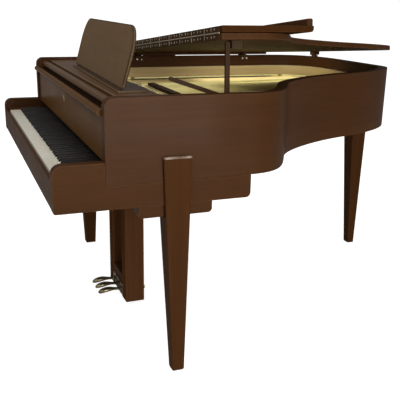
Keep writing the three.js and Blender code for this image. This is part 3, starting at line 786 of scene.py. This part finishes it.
# ---- Lid, flap and hinges ----
def lid_outline():
    """The lid's plan in its own frame, from the fold's treble end round the tail to its bass end."""
    plan = offset(case_plan([FOLD_Y, 585]), -6)
    points = [(min(max(x - LID_X, 6), HALF_W + 3 - LID_X), y) for x, y in plan]
    points[0] = (HALF_W - LID_X, FOLD_Y)
    points[-1] = (6, FOLD_Y)
    return [p for i, p in enumerate(points) if i == 0 or math.dist(p, points[i - 1]) > 0.5]


def lid_sag(bm):
    """The long tail of the lid hangs a little lower away from its hinges."""
    for vert in bm.verts:
        t = min(max((vert.co.y - 760) / 900, 0), 1)
        vert.co.z -= LID_SAG * t * t * (3 - 2 * t) * min(vert.co.x / 650, 1.2)


def lid_boards():
    bm = bmesh.new()
    prism(bm, lid_outline(), 18, LID_TOP)
    bmesh.ops.recalc_face_normals(bm, faces=bm.faces)
    soften(bm, 3.0)
    for axis, places in (((0, 1, 0), range(760, 1660, 100)), ((1, 0, 0), range(150, 1400, 160))):
        for place in places:
            bmesh.ops.bisect_plane(bm, geom=[*bm.verts, *bm.edges, *bm.faces], dist=0.01,
                                   plane_co=[c * place for c in axis], plane_no=axis)
    lid_sag(bm)
    made = add("lid_veneer", bm, "walnut_x", "lid", LID, stands_for=["lid_main"])
    made.modifiers.new("flat_faces", "WEIGHTED_NORMAL").keep_sharp = True
    bm = bmesh.new()
    prism(bm, rounded((3, 319), (1, 21), (2, 11, 2, 2), 6), 6, HALF_W + 3 - LID_X, "x")
    add("flap_veneer", bm, "walnut_flap", "flap", FLAP, 1.6, ["lid_flap"])
    bm = bmesh.new()
    prism(bm, rounded((299, 318.5), (21.3, 44), (0, 0, 5, 5), 4), 12, HALF_W - 4 - LID_X, "x")
    add("flap_lip_rail", bm, "walnut_x", "flap", FLAP, 1.4, ["flap_lip"])


KNUCKLE_PITCH, KNUCKLE_COUNT = 25, 56
FOLD_SCREW_AND_GLINT_PITCH, FOLD_SCREW_AND_GLINT_COUNT = 59, 23


def continuous_hinge():
    """Two long leaves on the boards' facing edges, with knuckles in turn, screws, and thin bright bars on the
    leaves that are painted glints.
    """
    refine("fold_leaf_lid", "aged_steel", 0.2)
    refine("fold_leaf_flap", "aged_steel", 0.2)
    for body, place, first, y, z, front, screw_z in (("lid", LID, 0, 526.6, 39, 527, 28),
                                                     ("flap", FLAP, 1, 0.6, 0, 1, 12)):
        bm = bmesh.new()
        for k in range(first, KNUCKLE_COUNT, 2):
            turned(bm, [(2.0, 0.4), (2.0, KNUCKLE_PITCH - 0.4)], (30 + KNUCKLE_PITCH * k, y, z), (1, 0, 0), 8)
        add(f"fold_knuckles_{body}", bm, "hinge_pin", body, place)
        bm = bmesh.new()
        for k in range(FOLD_SCREW_AND_GLINT_COUNT):
            x = 67 + FOLD_SCREW_AND_GLINT_PITCH * k
            # Thin bright bars, long and short in turn, are painted glints on the leaf; the domed heads beside
            # them are the screws.
            tall = 7 if k % 2 else 3.5
            block(bm, (x - 1.8, x + 1.8), (front - 0.9, front - 0.1), (screw_z - tall, screw_z + tall))
            screw(bm, (x + 24, front, screw_z), (0, -1, 0), 2.8)
        add(f"fold_screws_and_glints_{body}", bm, "hinge_pin", body, place)


def spine_hinges():
    """The two lid hinges on the bass side, each with its screws and its leaf and block under the lid."""
    for i, y in enumerate((671, 1258)):
        refine(f"lid_hinge_{i + 1}", "aged_steel", 0.4)
        bm = bmesh.new()
        for dy in (-12, 12):
            screw(bm, (-678.8, y + dy, 914), (1, 0, 0), 4.6)
        add(f"spine_screws_{i + 1}", bm, "steel", "case")
        bm = bmesh.new()
        turned(bm, [(2.6, -20), (2.6, 20)], (2.8, y, 3.4), (0, 1, 0), 12)
        block(bm, (1.4, 3.6), (y - 20, y + 20), (3, 17.5))
        block(bm, (3.6, 28), (y - 20, y + 20), (15.3, 17.6))
        add(f"spine_leaf_{i + 1}", bm, "aged_steel", "lid", LID, 0.4, segments=2)
        bm = bmesh.new()
        block(bm, (30, 58), (y - 16, y + 16), (7.5, 17.6))
        add(f"spine_block_{i + 1}", bm, "walnut_y", "lid", LID, 1.5)


def spine_batten():
    """A strip under the lid's spine side that closes the gap over the rim near the fold."""
    bm = bmesh.new()
    for y, low in (((532, 650.6), 3), ((691.4, 865), 3), ((865.5, 1234), 7.5), ((1283, 1390), 7.5)):
        block(bm, (28, 42), y, (low, 17.7))
    add("lid_batten", bm, "walnut_y", "lid", LID, 1.2)


def props():
    for name in ("prop_short", "prop_long"):
        refine(name, "walnut_prop", 1.8)
    refine("prop_cup", "bronze", 0.6)
    refine("prop_plate", "steel", 0.4)
    bm = bmesh.new()
    turned(bm, [(5, 0), (5, 1.2), (3, 2.2)], (658, 571, 890), (-1, 0, 0), 14)
    add("prop_short_pin", bm, "brass", "short_prop")
    bm = bmesh.new()
    turned(bm, [(4.6, 0), (4.6, 1.2), (2.8, 2.2)], (645, 600, 900), (-1, 0, 0), 14)
    add("prop_long_pin", bm, "brass", "long_prop")
    bm = bmesh.new()
    for y in (566, 610):
        screw(bm, (679, y, 893), (-1, 0, 0), 2.6)
    add("prop_plate_screws", bm, "steel", "case")


def tail_buffer():
    refine("tail_buffer", "felt", 2.0)
    bm = bmesh.new()
    block(bm, (160, 200), (1592, 1628), (-3, 15))
    add("tail_rest", bm, "walnut_y", "lid", LID, 2.0)


outer_rim()
case_boards()
keys()
fall_board()
music_desk()
iron_plate()
soundboard()
strings()
pedals()
lyre_knob()
lid_boards()
continuous_hinge()
spine_hinges()
spine_batten()
props()
tail_buffer()


# ---- Room, light and camera ----
def floor():
    tree, shader, material = blank("studio_floor")
    grain = noise(tree, spot(tree, "Object", (1, 1, 1)), 3, 4, 0.6)
    put(tree, shader.inputs["Base Color"], blend(tree, grain, (0.60, 0.60, 0.60), (0.64, 0.64, 0.635)))
    put(tree, shader.inputs["Roughness"], 0.9)
    put(tree, shader.inputs["Emission Color"], (1, 1, 1))
    seen = node(tree, "LightPath").outputs["Is Camera Ray"]
    put(tree, shader.inputs["Emission Strength"], spread(tree, seen, 0, 1, 0.05, 0.85))
    mesh = bpy.data.meshes.new("floor")
    mesh.from_pydata([(-900, -900, 0), (900, -900, 0), (900, 900, 0), (-900, 900, 0)], [], [(0, 1, 2, 3)])
    mesh.materials.append(material)
    made = bpy.data.objects.new("floor", mesh)
    made.location.z = -0.0005
    scene.collection.objects.link(made)


def area_light(name, place, target, size, power, colour=(1, 1, 1)):
    light = bpy.data.lights.new(name, "AREA")
    light.shape = "RECTANGLE"
    light.size, light.size_y = size
    light.energy = power
    light.color = colour
    made = bpy.data.objects.new(name, light)
    made.location = place
    made.rotation_euler = (Vector(target) - Vector(place)).to_track_quat("-Z", "Y").to_euler()
    scene.collection.objects.link(made)


def studio():
    floor()
    world = bpy.data.worlds.new("studio")
    scene.world = world
    world.use_nodes = True
    tree = world.node_tree
    direct = node(tree, "LightPath").outputs["Is Camera Ray"]
    put(tree, tree.nodes["Background"].inputs["Color"], (1, 1, 1))
    direction = node(tree, "SeparateXYZ", {0: node(tree, "TexCoord").outputs["Generated"]}).outputs[2]
    soft = spread(tree, direction, 0.0, 0.7, 0.05, 0.52)
    put(tree, tree.nodes["Background"].inputs["Strength"], spread(tree, direct, 0, 1, soft, 1.0))
    area_light("key_light", (0.6, -3.2, 4.4), (0, 0, 0.7), (3.0, 2.2), 95, (1, 0.98, 0.95))
    area_light("side_light", (4.6, -0.3, 1.5), (0, 0.1, 0.85), (1.4, 0.7), 120, (1, 0.98, 0.94))
    area_light("low_light", (3.6, 0.26, 0.42), (0, -0.3, 0.6), (1.2, 0.6), 16, (1, 0.98, 0.95))
    area_light("inside_light", (-0.47, 0.44, 0.955), (-0.47, 0.44, 0.8), (0.30, 0.62), 1.05, (1, 0.99, 0.88))
    area_light("inside_light_front", (-0.20, -0.05, 0.955), (-0.20, -0.05, 0.8), (0.40, 0.40), 0.35,
               (1, 0.98, 0.90))
    scene.view_settings.view_transform = "Standard"


CAMERA_PLACE = (2.5604, -1.1034, 1.199)
CAMERA_TURN = (68.48, -16.934, 1.138)     # yaw, pitch and roll, in degrees
CAMERA_LENS = 58.5


def camera():
    yaw, pitch, roll = (math.radians(a) for a in CAMERA_TURN)
    forward = Vector((-math.sin(yaw) * math.cos(pitch), math.cos(yaw) * math.cos(pitch), math.sin(pitch)))
    right = forward.cross(Vector(UP)).normalized()
    up = right.cross(forward)
    turned_right = right * math.cos(roll) + up * math.sin(roll)
    turned_up = up * math.cos(roll) - right * math.sin(roll)
    data = bpy.data.cameras.new("camera")
    data.lens = CAMERA_LENS
    data.sensor_width = 36
    made = bpy.data.objects.new("camera", data)
    made.matrix_world = Matrix.Translation(CAMERA_PLACE) @ Matrix(
        (turned_right, turned_up, -forward)).transposed().to_4x4()
    scene.collection.objects.link(made)
    scene.camera = made


studio()
camera()
